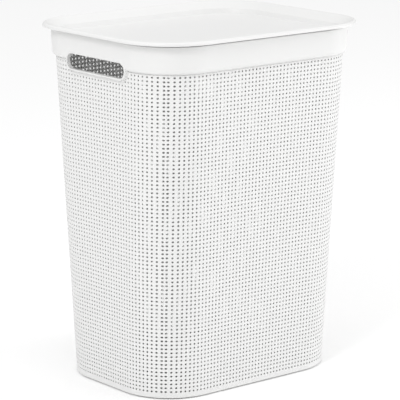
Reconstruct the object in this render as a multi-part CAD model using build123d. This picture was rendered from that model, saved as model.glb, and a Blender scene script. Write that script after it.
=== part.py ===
from build123d import *
import os

# Laundry hamper with a lift-off lid, in millimetres, +Z up.
# The origin is the centre of the base, on the surface that the hamper stands on.
# X runs along the long sides. The front is -Y, and the hand slots are on the two X ends.

# Basket wall: a straight taper between two rounded rectangles
FOOT_LENGTH = 349.3
FOOT_WIDTH = 252.8
FOOT_CORNER = 80.4
SHOULDER_LENGTH = 370.0
SHOULDER_WIDTH = 298.6
SHOULDER_CORNER = 72.0
SHOULDER_HEIGHT = 470.8
WALL = 2.0

# Base: a raised floor on a ring foot that is set back from the wall by a shallow step
FLOOR_SEAM = 9.0
FLOOR_TOP = 6.5
FLOOR_UNDERSIDE = 4.0
FOOT_RING = 9.0
FOOT_STEP = 5.0
FOOT_GAP = 1.6

# Rim band: it swells out of the wall and rises with a slight flare
BAND_PROUD = 5.6
BAND_SWELL = 9.0
BAND_FLARE = 0.046
RIM_HEIGHT = 510.8

# Hand slots: a stadium through each end, framed by a surround flush with the band
SLOT_LENGTH = 134.0
SLOT_HEIGHT = 22.0
SLOT_CENTRE = 471.0
SURROUND_WIDTH = 2.4
SURROUND_OUTSIDE = 190.8
SURROUND_INSIDE = 183.3
SURROUND_ROUND = 0.9
CUT_REACH = 20.0

# Lid: an overhanging rim with a crowned edge, whose flange slopes in and down to a sunken panel
LID_LENGTH = 406.2
LID_WIDTH = 332.0
LID_CORNER = 86.0
LID_TOP = 519.0
LID_THICK = 2.0
LIP_HEIGHT = 5.4
CROWN_RUN = 4.5
CROWN_RISE = 3.2
FLANGE_WIDTH = 22.0
FLANGE_DROP = 10.5
STEP_RUN = 3.5
PANEL_TOP = 501.5
RIB_INSET = 15.0
RIB_THICK = 1.6
RIB_FOOT = 503.0


def outline(length, width, corner, height):
    """Rounded rectangle centred on the Z axis."""
    return Pos(0, 0, height) * RectangleRounded(length, width, corner)


def wall_outline(height, inset):
    """Section of the tapered wall at one height, drawn in from its outer face."""
    share = height / SHOULDER_HEIGHT
    length = FOOT_LENGTH + share * (SHOULDER_LENGTH - FOOT_LENGTH)
    width = FOOT_WIDTH + share * (SHOULDER_WIDTH - FOOT_WIDTH)
    corner = FOOT_CORNER + share * (SHOULDER_CORNER - FOOT_CORNER)
    return outline(length - 2 * inset, width - 2 * inset, corner - inset, height)


def tapered_block(low, high, inset):
    """Solid between two heights inside the tapered wall."""
    return loft([wall_outline(low, inset), wall_outline(high, inset)], ruled=True)


def ring(section, length, width, corner):
    """Carry an XZ section, whose x counts outwards from the outline, once round a rounded rectangle."""
    reach_x = length / 2 - corner
    reach_y = width / 2 - corner
    whole = None
    for turn, half_run, away in (
        (0, reach_y, length / 2),
        (90, reach_x, width / 2),
        (180, reach_y, length / 2),
        (270, reach_x, width / 2),
    ):
        straight = extrude(Pos(away, 0, 0) * section, amount=half_run, dir=(0, 1, 0), both=True)
        straight = Rot(0, 0, turn) * straight
        whole = straight if whole is None else whole + straight
    for turn, centre_x, centre_y in (
        (0, reach_x, reach_y),
        (90, -reach_x, reach_y),
        (180, -reach_x, -reach_y),
        (270, reach_x, -reach_y),
    ):
        bend = revolve(Pos(corner, 0, 0) * section, axis=Axis.Z, revolution_arc=90)
        whole = whole + Pos(centre_x, centre_y, 0) * (Rot(0, 0, turn) * bend)
    return whole


def stadium_prism(grow, inside, outside):
    """Hand-slot stadium, grown all round, as a bar along X between two planes."""
    face = SlotOverall(SLOT_LENGTH + 2 * grow, SLOT_HEIGHT + 2 * grow)
    stand = Plane(origin=(inside, 0, SLOT_CENTRE), x_dir=(0, 1, 0), z_dir=(1, 0, 0))
    return extrude(stand * face, amount=outside - inside)


def both_ends(shape):
    """The shape on the +X end together with its twin on the -X end."""
    return shape + Rot(0, 0, 180) * shape


def corner_plane(side_x, side_y):
    """Plane through the middle of one corner of the wall, where two wall panels meet."""
    low = Vector(side_x * (FOOT_LENGTH / 2 - FOOT_CORNER), side_y * (FOOT_WIDTH / 2 - FOOT_CORNER), 0)
    high = Vector(
        side_x * (SHOULDER_LENGTH / 2 - SHOULDER_CORNER),
        side_y * (SHOULDER_WIDTH / 2 - SHOULDER_CORNER),
        SHOULDER_HEIGHT,
    )
    outward = Vector(side_x, side_y, 0)
    return Plane(origin=low, z_dir=outward.cross(high - low))


def slot_cutter():
    """What the hand slots and their surrounds take out of the wall and the band."""
    middle = SHOULDER_LENGTH / 2
    return both_ends(stadium_prism(SURROUND_WIDTH, middle - CUT_REACH, middle + CUT_REACH))


def make_floor_pan():
    """Floor, ring foot and the lowest strip of the side wall."""
    block = tapered_block(FOOT_GAP, FLOOR_SEAM, 0) + tapered_block(0, FOOT_GAP, FOOT_STEP)
    hollow = extrude(wall_outline(FLOOR_TOP, WALL), amount=FLOOR_SEAM)
    recess = extrude(wall_outline(0, FOOT_RING), amount=FLOOR_UNDERSIDE)
    return block - hollow - recess


def make_sleeve():
    """Tapered sleeve from the base to the shoulder, open where the hand slots reach down into it."""
    sleeve = tapered_block(FLOOR_SEAM, SHOULDER_HEIGHT, 0) - tapered_block(FLOOR_SEAM, SHOULDER_HEIGHT, WALL)
    return sleeve - slot_cutter()


def make_wall_panel(sleeve, first_corner, last_corner):
    """The stretch of the sleeve from one corner line round to the next, counter-clockwise from above."""
    panel = split(sleeve, bisect_by=corner_plane(*last_corner), keep=Keep.TOP)
    return split(panel, bisect_by=corner_plane(*first_corner), keep=Keep.BOTTOM)


def band_section():
    """Section of the rim band: the swell out of the wall and the flared upright."""
    centre_x = BAND_PROUD - BAND_SWELL
    centre_z = SHOULDER_HEIGHT + (BAND_SWELL**2 - centre_x**2) ** 0.5
    inner_swell = BAND_SWELL - WALL
    inner_z = centre_z - (inner_swell**2 - (centre_x + WALL) ** 2) ** 0.5
    top_x = BAND_PROUD + BAND_FLARE * (RIM_HEIGHT - centre_z)
    with BuildSketch(Plane.XZ) as section:
        with BuildLine():
            RadiusArc((0, SHOULDER_HEIGHT), (BAND_PROUD, centre_z), -BAND_SWELL)
            Line((BAND_PROUD, centre_z), (top_x, RIM_HEIGHT))
            Line((top_x, RIM_HEIGHT), (top_x - WALL, RIM_HEIGHT))
            Line((top_x - WALL, RIM_HEIGHT), (BAND_PROUD - WALL, centre_z))
            RadiusArc((BAND_PROUD - WALL, centre_z), (-WALL, inner_z), inner_swell)
            Line((-WALL, inner_z), (-WALL, SHOULDER_HEIGHT))
            Line((-WALL, SHOULDER_HEIGHT), (0, SHOULDER_HEIGHT))
        make_face()
    return section.sketch


def make_rim_band():
    """Band round the mouth of the basket, open where the hand slots pass through it."""
    band = ring(band_section(), SHOULDER_LENGTH, SHOULDER_WIDTH, SHOULDER_CORNER)
    return band - slot_cutter()


def make_handle_surround():
    """Frame of the hand slot on the +X end, with both mouths rounded."""
    frame = stadium_prism(SURROUND_WIDTH, SURROUND_INSIDE, SURROUND_OUTSIDE)
    frame = frame - stadium_prism(0, SURROUND_INSIDE, SURROUND_OUTSIDE)
    mouths = frame.edges().filter_by_position(
        Axis.Y, -SLOT_LENGTH / 2, SLOT_LENGTH / 2
    ).filter_by_position(
        Axis.Z, SLOT_CENTRE - SLOT_HEIGHT / 2, SLOT_CENTRE + SLOT_HEIGHT / 2
    ).filter_by(Axis.X, reverse=True)
    return fillet(mouths, SURROUND_ROUND)


def flange_underside(inset):
    """Height of the flange's lower face at a distance in from the lid's outer edge."""
    slope = FLANGE_DROP / (FLANGE_WIDTH - CROWN_RUN)
    return LID_TOP - slope * (inset - CROWN_RUN) - LID_THICK * (1 + slope**2) ** 0.5


def lid_section():
    """Section of the lid's rim: lip, crown, sloping flange, locating rib and step down to the panel."""
    step_foot = FLANGE_WIDTH + STEP_RUN
    crown_radius = (CROWN_RUN**2 + CROWN_RISE**2) / (2 * CROWN_RISE)
    lip_top = LID_TOP - CROWN_RISE
    under_crown = flange_underside(CROWN_RUN)
    with BuildSketch(Plane.XZ) as section:
        with BuildLine():
            RadiusArc((0, lip_top), (-CROWN_RUN, LID_TOP), -crown_radius)
            Polyline(
                (-CROWN_RUN, LID_TOP),
                (-FLANGE_WIDTH, LID_TOP - FLANGE_DROP),
                (-step_foot, PANEL_TOP),
                (-step_foot - LID_THICK, PANEL_TOP),
                (-step_foot - LID_THICK, PANEL_TOP - LID_THICK),
                (-step_foot + LID_THICK, PANEL_TOP - LID_THICK),
                (-FLANGE_WIDTH + LID_THICK, flange_underside(FLANGE_WIDTH - LID_THICK)),
                (-RIB_INSET - RIB_THICK, flange_underside(RIB_INSET + RIB_THICK)),
                (-RIB_INSET - RIB_THICK, RIB_FOOT),
                (-RIB_INSET, RIB_FOOT),
                (-RIB_INSET, flange_underside(RIB_INSET)),
                (-CROWN_RUN, under_crown),
                (-LID_THICK, lip_top - LID_THICK / 2),
                (-LID_THICK, LID_TOP - LIP_HEIGHT),
                (0, LID_TOP - LIP_HEIGHT),
                (0, lip_top),
            )
        make_face()
    return section.sketch


def make_lid():
    """Lid in one piece: the rim carried round its outline and the flat panel that closes it."""
    rim = ring(lid_section(), LID_LENGTH, LID_WIDTH, LID_CORNER)
    inset = FLANGE_WIDTH + STEP_RUN
    panel = outline(LID_LENGTH - 2 * inset, LID_WIDTH - 2 * inset, LID_CORNER - inset, PANEL_TOP - LID_THICK)
    return rim + extrude(panel, amount=LID_THICK)


right_back = (1, 1)
left_back = (-1, 1)
left_front = (-1, -1)
right_front = (1, -1)
sleeve = make_sleeve()
surround = make_handle_surround()
nodes = {
    "floor_pan": make_floor_pan(),
    "front_wall": make_wall_panel(sleeve, left_front, right_front),
    "right_wall": make_wall_panel(sleeve, right_front, right_back),
    "back_wall": make_wall_panel(sleeve, right_back, left_back),
    "left_wall": make_wall_panel(sleeve, left_back, left_front),
    "rim_band": make_rim_band(),
    "right_handle_surround": surround,
    "left_handle_surround": Rot(0, 0, 180) * surround,
    "lid": make_lid(),
}

os.makedirs("parts", exist_ok=True)
for name, shape in nodes.items():
    export_step(shape, f"parts/{name}.step")
    print(name, len(shape.solids()), "solids", round(shape.volume / 1000, 1), "cm3", shape.bounding_box())
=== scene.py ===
from math import cos, pi, radians, sin, sqrt

import bmesh
import bpy
import numpy as np
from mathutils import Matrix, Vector
from mathutils.geometry import delaunay_2d_cdt


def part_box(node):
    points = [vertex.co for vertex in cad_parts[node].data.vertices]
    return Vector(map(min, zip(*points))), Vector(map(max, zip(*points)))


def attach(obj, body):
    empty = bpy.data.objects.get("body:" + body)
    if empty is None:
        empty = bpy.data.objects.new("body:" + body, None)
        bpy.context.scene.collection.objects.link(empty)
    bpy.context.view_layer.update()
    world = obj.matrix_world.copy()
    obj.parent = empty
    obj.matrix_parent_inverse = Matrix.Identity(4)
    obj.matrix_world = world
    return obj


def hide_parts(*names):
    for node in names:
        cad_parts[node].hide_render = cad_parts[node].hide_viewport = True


# A laundry hamper with a lift-off lid: four perforated wall panels, a floor pan, a rim band with
# a hand slot at each end, and a lid. Everything is in metres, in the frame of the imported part.

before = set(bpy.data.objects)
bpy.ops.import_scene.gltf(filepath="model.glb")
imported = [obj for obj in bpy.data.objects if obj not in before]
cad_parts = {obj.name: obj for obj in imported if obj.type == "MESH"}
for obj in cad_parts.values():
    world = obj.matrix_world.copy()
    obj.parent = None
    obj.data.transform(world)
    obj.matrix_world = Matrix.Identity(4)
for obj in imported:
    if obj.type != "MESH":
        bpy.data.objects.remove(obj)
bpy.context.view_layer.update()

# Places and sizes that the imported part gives
seam_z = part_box("front_wall")[0].z
shoulder_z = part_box("front_wall")[1].z
shoulder_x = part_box("right_wall")[1].x
shoulder_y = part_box("back_wall")[1].y
seam_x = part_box("floor_pan")[1].x
seam_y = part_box("floor_pan")[1].y
rim_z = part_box("rim_band")[1].z
lid_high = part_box("lid")[1]
surround_low, surround_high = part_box("right_handle_surround")

# Wall
WALL = 0.002
FOOT_CORNER = 0.0804
SHOULDER_CORNER = 0.072

# Perforation: chamfered square holes in straight rows, evenly spaced as seen square on
HOLE = 0.0026
HOLE_CHAMFER = 0.0006
HOLE_DRAFT = 0.0002
ROWS = 79
FIRST_ROW_Z = 0.0112
LAST_ROW_Z = 0.4676
LONG_SIDE_COLUMNS = 51
SHORT_SIDE_COLUMNS = 37
LAST_COLUMN_GAP = 0.0022
LOBE_MARGIN = 0.0012
NOTCH_POINTS = 24

# Floor pan
FLOOR_TOP = 0.0065
FLOOR_UNDERSIDE = 0.004
FOOT_RING = 0.009
FOOT_STEP = 0.005
FOOT_GAP = 0.0016
FOOT_ROUND = 0.0005
STEP_ROUND = 0.0003
RING_ROUND = 0.0008
FLOOR_ROUND = 0.0015
FLOOR_EDGE = 0.006
UNDERSIDE_EDGE = 0.004
FLOOR_LOOPS = (0.03, 0.06, 0.09)

# Rim band
BAND_PROUD = 0.0056
BAND_SWELL = 0.009
BAND_FLARE = 0.046
RIM_ROUND = 0.0003

# Shadow groove under the band: its ceiling slopes up from the groove's back wall to its mouth.
# The back wall stays lower than the band's inner face there, or the section crosses itself.
GROOVE_MOUTH = 0.0024
GROOVE_HEIGHT = 0.0013
GROOVE_DEPTH = 0.0008

# Points on the band's outer and inner swell
SWELL_POINTS = (9, 7)

# Hand slot and the lobe of the band that frames it
SLOT_EDGE = 0.0024
SLOT_MOUTH_ROUND = 0.0009
LOBE_ROUND = 0.0009
LOBE_SINK = 0.0003
CUTTER_CLEARANCE = 0.006
STADIUM_POINTS = 33

# Lid
LID_CORNER = 0.086
LID_THICK = 0.002
LIP_HEIGHT = 0.0057
CROWN_RUN = 0.0045
CROWN_RISE = 0.0032
FLANGE_WIDTH = 0.022
FLANGE_DROP = 0.0105
STEP_RUN = 0.0035
PANEL_DROP = 0.0175
RIB_INSET = 0.015
RIB_THICK = 0.0016
RIB_REACH = 0.016
PANEL_EDGE = 0.006
PANEL_ROUND = 0.0018
FLANGE_ROUND = 0.0022
LIP_ROUND = 0.0005
LIP_ROOT_ROUND = 0.0008
UNDER_ROUND = 0.001
RIB_ROOT_ROUND = 0.0006
RIB_TIP_ROUND = 0.0004
STEP_UNDER_ROUND = 0.0015
CROWN_POINTS = 10
PANEL_LOOPS = (0.12, 0.09, 0.06, 0.04)

# Mesh fineness
CORNER_STEPS = 28
ROUND_STEPS = 5
SHARP_ANGLE = radians(38)
SMALLEST_CORNER = 0.004

# Smallest doubled area, in square metres, of a triangle that isn't a sliver
SLIVER = 1e-10


def make_object(name, verts, faces):
    """Mesh object from points and faces, with its normals turned outwards."""
    mesh = bpy.data.meshes.new(name)
    mesh.from_pydata([tuple(v) for v in verts], [], [tuple(f) for f in faces])
    editable = bmesh.new()
    editable.from_mesh(mesh)
    bmesh.ops.recalc_face_normals(editable, faces=editable.faces)
    editable.to_mesh(mesh)
    editable.free()
    piece = bpy.data.objects.new(name, mesh)
    bpy.context.scene.collection.objects.link(piece)
    return piece


def shade(piece, weighted):
    """Smooth shading that breaks at real edges."""
    piece.data.shade_smooth()
    piece.data.set_sharp_from_angle(angle=SHARP_ANGLE)
    if weighted:
        normals = piece.modifiers.new("even_normals", "WEIGHTED_NORMAL")
        normals.keep_sharp = True
    return piece


def outline(half_x, half_y, corner, z, inset=0.0):
    """Rounded rectangle as a closed loop of points, drawn in by inset."""
    radius = max(corner - inset, SMALLEST_CORNER)
    reach_x = half_x - inset - radius
    reach_y = half_y - inset - radius
    turn = np.linspace(0, pi / 2, CORNER_STEPS + 1)
    loop = []
    for quarter, (side_x, side_y) in enumerate(((1, 1), (-1, 1), (-1, -1), (1, -1))):
        angle = turn + quarter * pi / 2
        loop.append(np.column_stack((
            side_x * reach_x + radius * np.cos(angle),
            side_y * reach_y + radius * np.sin(angle),
            np.full(len(angle), z),
        )))
    return np.concatenate(loop)


def skin(name, loops, closed):
    """Skin over a stack of equal loops, which closes on itself or is capped at both ends."""
    count = len(loops[0])
    pairs = [(i, i + 1) for i in range(len(loops) - 1)]
    if closed:
        pairs.append((len(loops) - 1, 0))
    faces = []
    for a, b in pairs:
        for i in range(count):
            j = (i + 1) % count
            faces.append((a * count + i, a * count + j, b * count + j, b * count + i))
    if not closed:
        last = (len(loops) - 1) * count
        faces.append(tuple(range(count)))
        faces.append(tuple(range(last, last + count)))
    return make_object(name, np.concatenate(loops), faces)


def rounded_section(corners):
    """Section line through (across, height, radius) corners, each rounded to its radius."""
    points = []
    last = len(corners) - 1
    for i, (x, z, radius) in enumerate(corners):
        here = np.array((x, z))
        if radius == 0 or i in (0, last):
            points.append(here)
            continue
        back = np.array(corners[i - 1][:2]) - here
        ahead = np.array(corners[i + 1][:2]) - here
        back /= np.linalg.norm(back)
        ahead /= np.linalg.norm(ahead)
        half = np.arccos(np.clip(back @ ahead, -1, 1)) / 2
        middle = (back + ahead) / np.linalg.norm(back + ahead)
        centre = here + middle * radius / sin(half)
        start = here + back * radius / np.tan(half) - centre
        sweep = pi - 2 * half
        spin = np.sign(start[0] * ahead[1] - start[1] * ahead[0])
        for step in np.linspace(0, sweep, ROUND_STEPS + 1):
            c, s = cos(step), sin(step) * spin
            spoke = (start[0] * c - start[1] * s, start[0] * s + start[1] * c)
            points.append(centre + np.array(spoke))
    return points


# ---------------------------------------------------------------- wall panels


def at_foot(seam, shoulder):
    """A half size at height zero, from the sizes at the seam and at the shoulder."""
    share = seam_z / shoulder_z
    return (seam - share * shoulder) / (1 - share)


FOOT_X = at_foot(seam_x, shoulder_x)
FOOT_Y = at_foot(seam_y, shoulder_y)


def wall_sizes(z):
    """Half length, half width and corner radius of the wall's outer face at a height."""
    share = np.asarray(z) / shoulder_z
    return (
        FOOT_X + share * (shoulder_x - FOOT_X),
        FOOT_Y + share * (shoulder_y - FOOT_Y),
        FOOT_CORNER + share * (SHOULDER_CORNER - FOOT_CORNER),
    )


class Side:
    """One side of the wall, up to the 45 degree line of the corner at each end."""

    def __init__(self, node, outward, columns):
        self.node = node
        self.outward = Vector(outward)
        self.along = Vector((0, 0, 1)).cross(self.outward)
        self.half_columns = columns // 2
        self.long_side = abs(self.outward.y) > 0.5

    def sizes(self, z):
        """Half run along the side, distance out to it, and corner radius."""
        half_x, half_y, corner = wall_sizes(z)
        return (half_x, half_y, corner) if self.long_side else (half_y, half_x, corner)

    def end(self, z):
        """How far along the side the corner line lies."""
        run, _, corner = self.sizes(z)
        return run - corner * (1 - sqrt(0.5))

    def pitch(self, z):
        return (self.end(z) - LAST_COLUMN_GAP) / self.half_columns

    def points(self, u, z, depth):
        """Points on the wall at distances u along the side, a depth below the outer face."""
        u, z = np.broadcast_arrays(u, z)
        run, out, corner = self.sizes(z)
        bend = np.clip((np.abs(u) - (run - corner)) / corner, 0, 1)
        across = np.where(bend > 0, np.sign(u) * (run - corner + (corner - depth) * bend), u)
        away = out - corner + (corner - depth) * np.sqrt(1 - bend**2)
        x = across * self.along.x + away * self.outward.x
        y = across * self.along.y + away * self.outward.y
        return np.stack((x, y, z), axis=-1).reshape(-1, 3)


def hole_ring():
    """Offsets of a hole's eight corners from its centre, starting along its lower edge."""
    a = HOLE / 2
    b = a - HOLE_CHAMFER
    return np.array(((-b, -a), (b, -a), (a, -b), (a, b), (b, a), (-b, a), (-a, b), (-a, -b)))


def row_heights():
    return np.linspace(FIRST_ROW_Z, LAST_ROW_Z, ROWS)


def row_limits():
    """Heights between the rows, with the wall's own bottom and top at the ends."""
    rows = row_heights()
    return np.concatenate(([seam_z], (rows[1:] + rows[:-1]) / 2, [shoulder_z]))


def column_limits(side, z):
    """Places between the columns at a height, with the corner lines at the ends."""
    pitch = side.pitch(z)
    between = (np.arange(-side.half_columns, side.half_columns) + 0.5) * pitch
    return np.concatenate(([-side.end(z)], between, [side.end(z)]))


def slot_half_sizes(grow):
    """Half length and half height of the slot's stadium, grown all round."""
    half_length = (surround_high.y - surround_low.y) / 2 - SLOT_EDGE + grow
    half_height = (surround_high.z - surround_low.z) / 2 - SLOT_EDGE + grow
    return half_length, half_height


def slot_z():
    return (surround_low.z + surround_high.z) / 2


def outside_stadium(u, z, grow):
    """Distance of a point from the slot's grown stadium, negative inside it."""
    half_length, half_height = slot_half_sizes(grow)
    beyond = max(abs(u) - (half_length - half_height), 0)
    return sqrt(beyond**2 + (z - slot_z()) ** 2) - half_height


class Sheet:
    """Collects a wall panel: each point once on the outer face and once on the inner face."""

    def __init__(self, side):
        self.side = side
        self.u = []
        self.z = []
        self.shift = []
        self.faces = []
        self.rims = []

    def add(self, u, z, du=0.0, dz=0.0):
        """Add a point, which on the inner face lies du, dz away from its place on the outer one."""
        self.u.append(float(u))
        self.z.append(float(z))
        self.shift.append((float(du), float(dz)))
        return len(self.u) - 1

    def add_hole(self, u, z):
        """Ring of a hole, drafted so that it opens towards the inside."""
        widen = HOLE_DRAFT / (HOLE / 2)
        return [self.add(u + du, z + dz, du * widen, dz * widen) for du, dz in hole_ring()]

    def build(self, name):
        u, z = np.array(self.u), np.array(self.z)
        shift_u, shift_z = np.array(self.shift).T
        outer = self.side.points(u, z, 0.0)
        inner = self.side.points(u + shift_u, z + shift_z, WALL)
        count = len(u)
        faces = list(self.faces)
        faces += [tuple(i + count for i in reversed(face)) for face in self.faces]
        for rim in self.rims:
            for a, b in zip(rim[:-1], rim[1:]):
                faces.append((b, a, a + count, b + count))
        return make_object(name, np.concatenate((outer, inner)), faces)


def perforate(sheet, corners, ring):
    """Faces of one cell between its four corners and the eight points of its hole."""
    for i in range(4):
        j = (i + 1) % 4
        sheet.faces.append((corners[i], corners[j], ring[2 * i + 1], ring[2 * i]))
        sheet.faces.append((corners[j], ring[(2 * i + 2) % 8], ring[2 * i + 1]))
    sheet.rims.append(list(reversed([*ring, ring[0]])))


def lobe_block(side):
    """First row, first column and last column of the cells that the hand slot's lobe touches."""
    rows = row_heights()
    half_length, half_height = slot_half_sizes(SLOT_EDGE + LOBE_MARGIN)
    first_row = int(np.searchsorted(rows, slot_z() - half_height - HOLE)) - 1
    reach = int(np.ceil((half_length + HOLE) / side.pitch(rows[-1]))) + 1
    return first_row, side.half_columns - reach, side.half_columns + reach


def patch_round_lobe(sheet, grid, block):
    """Fill the block of cells round the slot's lobe, with the holes that clear the lobe."""
    side = sheet.side
    first_row, first_column, last_column = block
    boundary = [grid[first_row, c] for c in range(first_column, last_column + 2)]
    boundary += [grid[r, last_column + 1] for r in range(first_row + 1, ROWS + 1)]
    left_edge = [grid[r, first_column] for r in range(ROWS, first_row, -1)]

    buried = SLOT_EDGE / 2
    half_length, half_height = slot_half_sizes(buried)
    straight = half_length - half_height
    top_turn = np.arcsin(np.clip((shoulder_z - slot_z()) / half_height, -1, 1))
    turn = np.linspace(top_turn, -pi / 2, NOTCH_POINTS)
    right = [(straight + half_height * cos(t), slot_z() + half_height * sin(t)) for t in turn]
    notch = [sheet.add(u, z) for u, z in right + [(-u, z) for u, z in reversed(right)]]
    outer_loop = boundary + notch + left_edge

    loops = [outer_loop]
    offsets = hole_ring()
    for r in range(first_row, ROWS):
        z = row_heights()[r]
        for c in range(first_column, last_column + 1):
            u = (c - side.half_columns) * side.pitch(z)
            clear = min(outside_stadium(u + du, z + dz, SLOT_EDGE) for du, dz in offsets)
            if clear > LOBE_MARGIN:
                ring = sheet.add_hole(u, z)
                loops.append(ring)
                sheet.rims.append(list(reversed([*ring, ring[0]])))
    sheet.rims.append(notch)

    ids = [i for loop in loops for i in loop]
    place = {vertex: k for k, vertex in enumerate(ids)}
    flat = [Vector((sheet.u[i], sheet.z[i])) for i in ids]
    edges = [(place[a], place[b]) for loop in loops for a, b in zip(loop, loop[1:] + loop[:1])]
    triangles = delaunay_2d_cdt(flat, edges, [], 0, 1e-9)[2]
    ring_centres = [
        (np.mean([sheet.u[i] for i in ring]), np.mean([sheet.z[i] for i in ring]))
        for ring in loops[1:]
    ]
    for triangle in triangles:
        a, b, c = (flat[i] for i in triangle)
        doubled_area = (b - a).cross(c - a)
        u, z = (a + b + c) / 3
        in_hole = any(max(abs(u - x), abs(z - y)) < HOLE / 2 for x, y in ring_centres)
        if abs(doubled_area) < SLIVER or in_hole or outside_stadium(u, z, buried) <= 0:
            continue
        face = [ids[i] for i in triangle]
        sheet.faces.append(tuple(reversed(face)) if doubled_area < 0 else tuple(face))
    return notch


def make_wall_panel(side, has_slot):
    """Perforated panel with a real hole in every cell."""
    sheet = Sheet(side)
    rows, limits = row_heights(), row_limits()
    columns = 2 * side.half_columns + 1
    grid = np.zeros((ROWS + 1, columns + 1), int)
    for r, z in enumerate(limits):
        for c, u in enumerate(column_limits(side, z)):
            grid[r, c] = sheet.add(u, z)
    block = lobe_block(side) if has_slot else (ROWS, 0, -1)
    first_row, first_column, last_column = block
    for r, z in enumerate(rows):
        for c in range(columns):
            if r >= first_row and first_column <= c <= last_column:
                continue
            u = (c - side.half_columns) * side.pitch(z)
            ring = sheet.add_hole(u, z)
            corners = (grid[r, c], grid[r, c + 1], grid[r + 1, c + 1], grid[r + 1, c])
            perforate(sheet, corners, ring)

    sheet.rims.append([grid[0, c] for c in range(columns + 1)])
    sheet.rims.append([grid[r, columns] for r in range(ROWS + 1)])
    sheet.rims.append([grid[r, 0] for r in range(ROWS, -1, -1)])
    if has_slot:
        notch = patch_round_lobe(sheet, grid, block)
        sheet.rims.append([grid[ROWS, c] for c in range(columns, last_column, -1)] + [notch[0]])
        sheet.rims.append([notch[-1]] + [grid[ROWS, c] for c in range(first_column, -1, -1)])
    else:
        sheet.rims.append([grid[ROWS, c] for c in range(columns, -1, -1)])
    panel = sheet.build(f"{side.node}_perforated")
    used = bmesh.new()
    used.from_mesh(panel.data)
    bmesh.ops.delete(used, geom=[v for v in used.verts if not v.link_faces], context="VERTS")
    used.to_mesh(panel.data)
    used.free()
    return shade(panel, weighted=False)


# ---------------------------------------------------------------- floor pan


def floor_pan_loops():
    """Loops of the floor, ring foot and plain strip of wall, and how many are its outer section."""
    section = rounded_section((
        (WALL, seam_z, 0),
        (0, seam_z, 0),
        (0, FOOT_GAP, FOOT_ROUND),
        (FOOT_STEP, FOOT_GAP, STEP_ROUND),
        (FOOT_STEP, 0, STEP_ROUND),
        (FOOT_RING, 0, RING_ROUND),
        (FOOT_RING, FLOOR_UNDERSIDE, RING_ROUND),
        (FOOT_RING + UNDERSIDE_EDGE, FLOOR_UNDERSIDE, 0),
    ))
    inside = rounded_section((
        (WALL + FLOOR_EDGE, FLOOR_TOP, 0),
        (WALL, FLOOR_TOP, FLOOR_ROUND),
        (WALL, seam_z, 0),
    ))
    loops = []
    for inset, z in section:
        half_x, half_y, corner = wall_sizes(z)
        loops.append(outline(half_x, half_y, corner, z, inset))
    half_x, half_y, corner = wall_sizes(0)
    for inset in FLOOR_LOOPS:
        loops.append(outline(half_x, half_y, corner, FLOOR_UNDERSIDE, inset))
    for inset in reversed(FLOOR_LOOPS):
        loops.append(outline(half_x, half_y, corner, FLOOR_TOP, inset))
    for inset, z in inside[:-1]:
        half_x, half_y, corner = wall_sizes(z)
        loops.append(outline(half_x, half_y, corner, z, inset))
    return loops, len(section)


def make_floor_pan():
    """Join the floor pan's loops, and close the floor's middle above and below."""
    loops, outer_count = floor_pan_loops()
    count = len(loops[0])
    split = outer_count + len(FLOOR_LOOPS)
    faces = []
    for a in [i for i in range(len(loops)) if i != split - 1]:
        b = (a + 1) % len(loops)
        for i in range(count):
            j = (i + 1) % count
            faces.append((a * count + i, a * count + j, b * count + j, b * count + i))
    faces.append(tuple(range((split - 1) * count, split * count)))
    faces.append(tuple(range(split * count, (split + 1) * count)))
    piece = make_object("floor_pan_moulded", np.concatenate(loops), faces)
    return shade(piece, weighted=True)


# ---------------------------------------------------------------- rim band


def arc(centre, radius, first, last, steps):
    """Points on an arc in the section plane, angles counted from straight outwards."""
    return [
        (centre[0] + radius * cos(a), centre[1] + radius * sin(a))
        for a in np.linspace(first, last, steps)
    ]


def band_section():
    """Closed section of the band, across counted outwards from the wall's outer face."""
    centre_x = BAND_PROUD - BAND_SWELL
    centre_z = shoulder_z + sqrt(BAND_SWELL**2 - centre_x**2)
    centre = (centre_x, centre_z)
    outer_turn = np.arcsin((centre_z - shoulder_z - GROOVE_MOUTH) / BAND_SWELL)
    inner_turn = np.arccos((-WALL - centre_x) / (BAND_SWELL - WALL))
    top_x = BAND_PROUD + BAND_FLARE * (rim_z - centre_z)
    top = rounded_section((
        (BAND_PROUD, centre_z, 0),
        (top_x, rim_z, RIM_ROUND),
        (top_x - WALL, rim_z, RIM_ROUND),
        (BAND_PROUD - WALL, centre_z, 0),
    ))
    outer = arc(centre, BAND_SWELL, -outer_turn, 0, SWELL_POINTS[0])
    inner = arc(centre, BAND_SWELL - WALL, 0, -inner_turn, SWELL_POINTS[1])
    groove = [
        (-WALL, shoulder_z),
        (-GROOVE_DEPTH, shoulder_z),
        (-GROOVE_DEPTH, shoulder_z + GROOVE_HEIGHT),
    ]
    return outer + [tuple(p) for p in top[1:-1]] + inner + groove


def stadium(grow, x):
    """Loop of the slot's stadium, grown all round, standing across X."""
    half_length, half_height = slot_half_sizes(grow)
    straight = half_length - half_height
    loop = []
    for side, start in ((1, -pi / 2), (-1, pi / 2)):
        for t in np.linspace(start, start + pi, STADIUM_POINTS):
            y = side * straight + half_height * cos(t)
            loop.append((x, y, slot_z() + half_height * sin(t)))
    return np.array(loop)


def quarter(radius):
    """Quarter circle as (step in, step along) pairs, from the side face to the end face."""
    turn = np.linspace(0, pi / 2, ROUND_STEPS + 1)
    return [(radius * (1 - cos(t)), radius * sin(t)) for t in turn]


def make_lobe(inside, outside):
    """Lobe that frames a slot, still solid, with its outer edge rounded."""
    loops = [stadium(SLOT_EDGE, inside)]
    for step_in, along in quarter(LOBE_ROUND):
        loops.append(stadium(SLOT_EDGE - step_in, outside - LOBE_ROUND + along))
    return skin("lobe", loops, closed=False)


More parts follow.
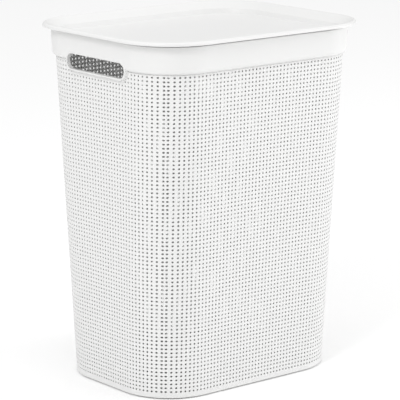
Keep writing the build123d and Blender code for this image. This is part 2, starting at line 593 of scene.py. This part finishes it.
def make_slot_cutter(inside, outside):
    """Bar that opens a slot and leaves both mouths rounded."""
    flare = quarter(SLOT_MOUTH_ROUND)
    loops = [stadium(SLOT_MOUTH_ROUND, inside - CUTTER_CLEARANCE)]
    for step_in, along in reversed(flare):
        loops.append(stadium(step_in, inside + SLOT_MOUTH_ROUND - along))
    for step_in, along in flare:
        loops.append(stadium(step_in, outside - SLOT_MOUTH_ROUND + along))
    loops.append(stadium(SLOT_MOUTH_ROUND, outside + CUTTER_CLEARANCE))
    return skin("slot_cutter", loops, closed=False)


def turn_half_round(piece):
    """Twin of a +X piece at the -X end."""
    twin = piece.copy()
    twin.data = piece.data.copy()
    bpy.context.scene.collection.objects.link(twin)
    for vertex in twin.data.vertices:
        vertex.co.x, vertex.co.y = -vertex.co.x, -vertex.co.y
    return twin


def combine(piece, tool, operation):
    """Boolean of a piece with a tool, which is used up."""
    change = piece.modifiers.new(operation.lower(), "BOOLEAN")
    change.operation = operation
    change.solver = "EXACT"
    change.object = tool
    ready = piece.evaluated_get(bpy.context.evaluated_depsgraph_get())
    result = bpy.data.meshes.new_from_object(ready)
    piece.modifiers.clear()
    piece.data = result
    bpy.data.objects.remove(tool)


def make_rim_band():
    """Band carried round the mouth, with a framed hand slot through each end."""
    loops = []
    for across, z in band_section():
        loops.append(outline(shoulder_x, shoulder_y, SHOULDER_CORNER, z, -across))
    band = skin("rim_band_moulded", loops, closed=True)
    inside = surround_low.x
    outside = surround_high.x
    lobe = make_lobe(inside, outside - LOBE_SINK)
    cutter = make_slot_cutter(inside, outside)
    for tool, operation in (
        (turn_half_round(lobe), "UNION"),
        (lobe, "UNION"),
        (turn_half_round(cutter), "DIFFERENCE"),
        (cutter, "DIFFERENCE"),
    ):
        combine(band, tool, operation)
    return shade(band, weighted=True)


# ---------------------------------------------------------------- lid


def lid_section():
    """Closed section of the lid's rim as (inset, height) points, from the panel out and back."""
    top = lid_high.z
    slope = FLANGE_DROP / (FLANGE_WIDTH - CROWN_RUN)
    drop = LID_THICK * sqrt(1 + slope**2)
    step_foot = FLANGE_WIDTH + STEP_RUN
    panel = top - PANEL_DROP
    lip_top = top - CROWN_RISE
    crown_radius = (CROWN_RUN**2 + CROWN_RISE**2) / (2 * CROWN_RISE)
    crown_turn = np.arcsin(CROWN_RUN / crown_radius)

    def under(inset):
        return top - slope * (inset - CROWN_RUN) - drop

    flange = rounded_section((
        (step_foot + PANEL_EDGE, panel, 0),
        (step_foot, panel, PANEL_ROUND),
        (FLANGE_WIDTH, top - FLANGE_DROP, FLANGE_ROUND),
        (CROWN_RUN, top, 0),
    ))
    crown_centre = (CROWN_RUN, top - crown_radius)
    crown = arc(crown_centre, crown_radius, pi / 2, pi / 2 + crown_turn, CROWN_POINTS)
    under_side = rounded_section((
        (0, lip_top, 0),
        (0, top - LIP_HEIGHT, LIP_ROUND),
        (LID_THICK, top - LIP_HEIGHT, LIP_ROUND),
        (LID_THICK, lip_top - LID_THICK / 2, LIP_ROOT_ROUND),
        (CROWN_RUN, under(CROWN_RUN), UNDER_ROUND),
        (RIB_INSET, under(RIB_INSET), RIB_ROOT_ROUND),
        (RIB_INSET, top - RIB_REACH, RIB_TIP_ROUND),
        (RIB_INSET + RIB_THICK, top - RIB_REACH, RIB_TIP_ROUND),
        (RIB_INSET + RIB_THICK, under(RIB_INSET + RIB_THICK), RIB_ROOT_ROUND),
        (FLANGE_WIDTH - LID_THICK, under(FLANGE_WIDTH - LID_THICK), UNDER_ROUND),
        (step_foot - LID_THICK, panel - LID_THICK, STEP_UNDER_ROUND),
        (step_foot + PANEL_EDGE, panel - LID_THICK, 0),
    ))
    return flange[:-1] + [np.array(point) for point in crown] + under_side[1:]


def make_lid():
    """Lid in one piece: rim, flange, step, sunken panel and locating rib."""
    half_x, half_y = lid_high.x, lid_high.y
    section = lid_section()
    panel_z = section[0][1]
    loops = [outline(half_x, half_y, LID_CORNER, panel_z, inset) for inset in PANEL_LOOPS]
    loops += [outline(half_x, half_y, LID_CORNER, z, inset) for inset, z in section]
    under_z = section[-1][1]
    under_loops = reversed(PANEL_LOOPS)
    loops += [outline(half_x, half_y, LID_CORNER, under_z, inset) for inset in under_loops]
    return shade(skin("lid_moulded", loops, closed=False), weighted=True)


# ---------------------------------------------------------------- materials


WHITE = (0.80, 0.80, 0.795)
MOTTLE_SHADE = 0.985
MOTTLE_SCALE = 14
GRAIN_SCALE = 1400
GLOSS_SPREAD = 0.05


def white_plastic(name, roughness):
    """White polypropylene: satin, with a fine moulded grain and a faint mottle."""
    material = bpy.data.materials.new(name)
    material.use_nodes = True
    nodes, links = material.node_tree.nodes, material.node_tree.links
    shader = nodes["Principled BSDF"]
    shader.inputs["IOR"].default_value = 1.49
    place = nodes.new("ShaderNodeTexCoord")

    mottle = nodes.new("ShaderNodeTexNoise")
    mottle.inputs["Scale"].default_value = MOTTLE_SCALE
    mottle.inputs["Detail"].default_value = 3
    links.new(place.outputs["Object"], mottle.inputs["Vector"])
    colour = nodes.new("ShaderNodeMix")
    colour.data_type = "RGBA"
    colour.inputs["A"].default_value = (*[MOTTLE_SHADE * c for c in WHITE], 1)
    colour.inputs["B"].default_value = (*WHITE, 1)
    links.new(mottle.outputs["Fac"], colour.inputs["Factor"])
    links.new(colour.outputs["Result"], shader.inputs["Base Color"])

    grain = nodes.new("ShaderNodeTexNoise")
    grain.inputs["Scale"].default_value = GRAIN_SCALE
    grain.inputs["Detail"].default_value = 2
    links.new(place.outputs["Object"], grain.inputs["Vector"])
    gloss = nodes.new("ShaderNodeMapRange")
    gloss.inputs["To Min"].default_value = roughness - GLOSS_SPREAD
    gloss.inputs["To Max"].default_value = roughness + GLOSS_SPREAD
    links.new(grain.outputs["Fac"], gloss.inputs["Value"])
    links.new(gloss.outputs["Result"], shader.inputs["Roughness"])

    bump = nodes.new("ShaderNodeBump")
    bump.inputs["Strength"].default_value = 0.12
    bump.inputs["Distance"].default_value = 0.0002
    links.new(grain.outputs["Fac"], bump.inputs["Height"])
    links.new(bump.outputs["Normal"], shader.inputs["Normal"])
    return material


def dress(piece, body, slot, material, *nodes):
    """Give a piece its material and its body, and hide the CAD nodes it stands for. The slot is not
    used.
    """
    piece.data.materials.clear()
    piece.data.materials.append(material)
    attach(piece, body)
    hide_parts(*nodes)


# ---------------------------------------------------------------- studio

CAMERA_PLACE = Vector((-2.0455, -2.5047, 0.9780))
CAMERA_BACK = Vector((-0.61718, -0.75569, 0.21917))
CAMERA_LENS = 202.3
SENSOR_WIDTH = 36
FLOOR_REACH = 12.0
LIGHT_AIM = Vector((0, 0, 0.3))


def make_camera():
    camera_data = bpy.data.cameras.new("camera")
    camera_data.lens = CAMERA_LENS
    camera_data.sensor_width = SENSOR_WIDTH
    camera = bpy.data.objects.new("camera", camera_data)
    camera.location = CAMERA_PLACE
    camera.rotation_mode = "QUATERNION"
    camera.rotation_quaternion = (-CAMERA_BACK).to_track_quat("-Z", "Y")
    bpy.context.scene.collection.objects.link(camera)
    bpy.context.scene.camera = camera


def make_floor():
    """Plain white studio floor."""
    reach = FLOOR_REACH
    corners = [(-reach, -reach, 0), (reach, -reach, 0), (reach, reach, 0), (-reach, reach, 0)]
    floor = make_object("studio_floor", corners, [(0, 1, 2, 3)])
    material = bpy.data.materials.new("studio_floor")
    material.use_nodes = True
    shader = material.node_tree.nodes["Principled BSDF"]
    shader.inputs["Base Color"].default_value = (0.97, 0.97, 0.97, 1)
    shader.inputs["Roughness"].default_value = 1
    shader.inputs["Specular IOR Level"].default_value = 0
    floor.data.materials.append(material)


def make_world(horizon, zenith):
    """Plain white surroundings, brighter overhead than at the level of the hamper."""
    world = bpy.data.worlds.new("studio")
    world.use_nodes = True
    nodes, links = world.node_tree.nodes, world.node_tree.links
    background = nodes["Background"]
    background.inputs["Color"].default_value = (1, 1, 1, 1)
    direction = nodes.new("ShaderNodeTexCoord")
    parts = nodes.new("ShaderNodeSeparateXYZ")
    links.new(direction.outputs["Generated"], parts.inputs["Vector"])
    strength = nodes.new("ShaderNodeMapRange")
    strength.inputs["To Min"].default_value = horizon
    strength.inputs["To Max"].default_value = zenith
    links.new(parts.outputs["Z"], strength.inputs["Value"])
    links.new(strength.outputs["Result"], background.inputs["Strength"])
    bpy.context.scene.world = world


def add_softbox(name, place, size, power):
    """Square area light that looks at the hamper."""
    light = bpy.data.lights.new(name, "AREA")
    light.size = size
    light.energy = power
    lamp = bpy.data.objects.new(name, light)
    lamp.location = place
    lamp.rotation_mode = "QUATERNION"
    lamp.rotation_quaternion = (LIGHT_AIM - Vector(place)).to_track_quat("-Z", "Y")
    bpy.context.scene.collection.objects.link(lamp)


# ---------------------------------------------------------------- the hamper

basket_white = white_plastic("basket_white", roughness=0.42)
lid_white = white_plastic("lid_white", roughness=0.38)

sides = (
    Side("front_wall", (0, -1, 0), LONG_SIDE_COLUMNS),
    Side("back_wall", (0, 1, 0), LONG_SIDE_COLUMNS),
    Side("left_wall", (-1, 0, 0), SHORT_SIDE_COLUMNS),
    Side("right_wall", (1, 0, 0), SHORT_SIDE_COLUMNS),
)
for side in sides:
    panel = make_wall_panel(side, has_slot=not side.long_side)
    dress(panel, "basket", "basket_plastic", basket_white, side.node)
dress(make_floor_pan(), "basket", "basket_plastic", basket_white, "floor_pan")
dress(
    make_rim_band(), "basket", "basket_plastic", basket_white,
    "rim_band", "left_handle_surround", "right_handle_surround",
)
dress(make_lid(), "lid", "lid_plastic", lid_white, "lid")

make_camera()
make_floor()
make_world(horizon=0.4, zenith=1.2)
add_softbox("key_left", (-2.2, -0.9, 2.2), size=0.9, power=23)
add_softbox("fill_right", (2.6, -1.7, 1.0), size=1.6, power=30)

scene = bpy.context.scene
scene.view_settings.view_transform = "Standard"
scene.view_settings.look = "None"
